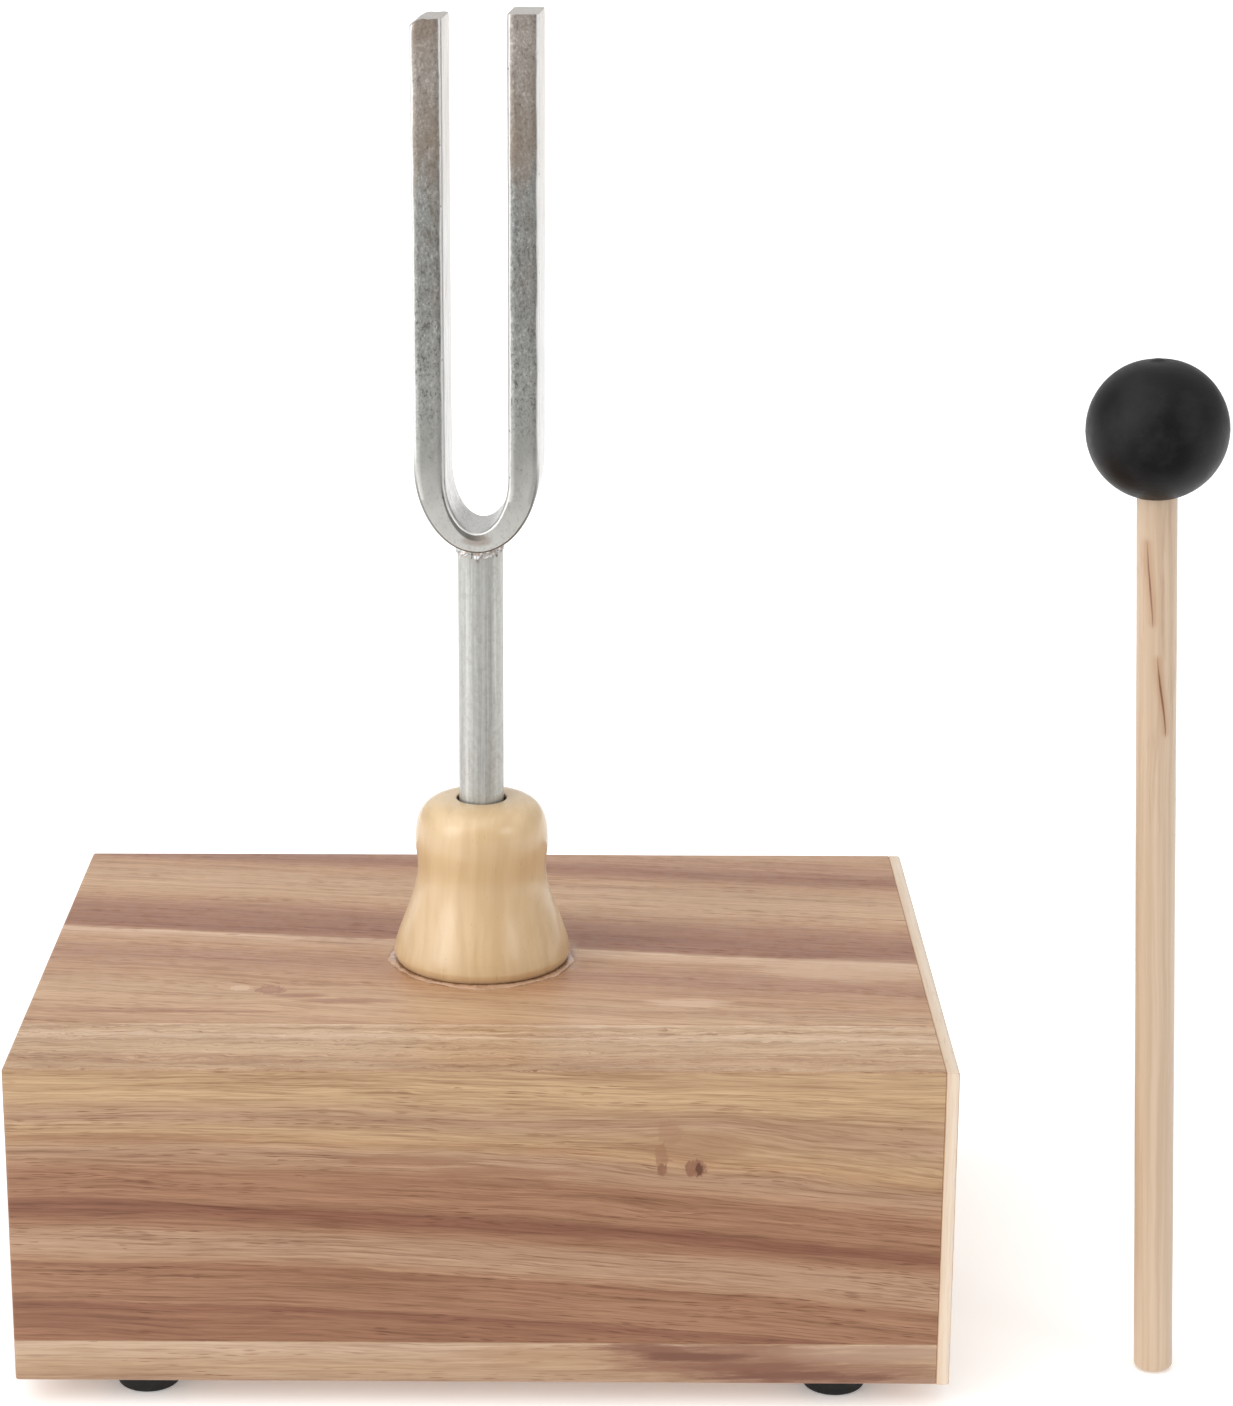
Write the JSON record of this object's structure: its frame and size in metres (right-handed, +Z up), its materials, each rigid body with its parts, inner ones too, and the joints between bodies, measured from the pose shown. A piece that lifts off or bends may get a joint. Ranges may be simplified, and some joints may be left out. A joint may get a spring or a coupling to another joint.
{
  "type": "tuning fork set",
  "caption": "Steel tuning fork standing in a turned wooden socket on an open-ended wooden resonance box, with a rubber-headed mallet.",
  "frame": {"origin": "on the table, under the middle of the whole set's bounding box", "axes": "+X to the right along the box towards the mallet, +Y from the box's front to its back, +Z up along the fork"},
  "size_m": [0.227, 0.128, 0.2604],
  "materials": {
    "board_wood": "satin, striped hardwood",
    "panel_wood": "pale thin panel, bare",
    "turned_wood": "satin lacquer",
    "dried_glue": "clear dried glue",
    "foot_rubber": "matt black",
    "adhesive": "adhesive film",
    "bar_steel": "plated, finely mottled",
    "stem_steel": "plated, satin",
    "weld_steel": "plated over a rough weld",
    "dowel_wood": "bare, pale",
    "ball_rubber": "matt black"
  },
  "bodies": {
    "resonance_box": {"bottom_board": "board_wood", "front_board": "board_wood", "back_board": "board_wood", "top_board": "board_wood", "end_panel": "panel_wood", "fork_socket": "turned_wood", "socket_glue_bead": "dried_glue", "foot_front_left": "foot_rubber", "foot_front_right": "foot_rubber", "foot_back_left": "foot_rubber", "foot_back_right": "foot_rubber", "foot_adhesive_pads": "adhesive"},
    "fork": {"fork_bend": "bar_steel", "fork_stem": "stem_steel", "stem_weld": "weld_steel"},
    "left_tine": {"left_tine": "bar_steel"},
    "right_tine": {"right_tine": "bar_steel"},
    "mallet": {"mallet_stick": "dowel_wood", "mallet_ball": "ball_rubber"}
  },
  "joints": [
    {"name": "fork_lift", "type": "slide", "parent": "resonance_box", "child": "fork", "axis": [0, 0, 1], "range_m": [0, 0.045]},
    {"name": "right_tine_flex", "type": "hinge", "parent": "fork", "child": "right_tine", "pos_m": [-0.01554, -0.00206, 0.17355], "axis": [0.061, 0.9981, 0], "range_deg": [-0.3, 0.3], "stiffness_Nm_per_rad": 0.6},
    {"name": "left_tine_flex", "type": "hinge", "parent": "fork", "child": "left_tine", "pos_m": [-0.03401, -0.00093, 0.17355], "axis": [0.061, 0.9981, 0], "range_deg": [-0.3, 0.3], "stiffness_Nm_per_rad": 0.6},
    {"name": "mallet_lift", "type": "slide", "parent": "resonance_box", "child": "mallet", "axis": [0, 0, 1], "range_m": [0, 0.08]}
  ],
  "couplings": [
    {"joint": "left_tine_flex", "follows": "right_tine_flex", "ratio": -1}
  ]
}
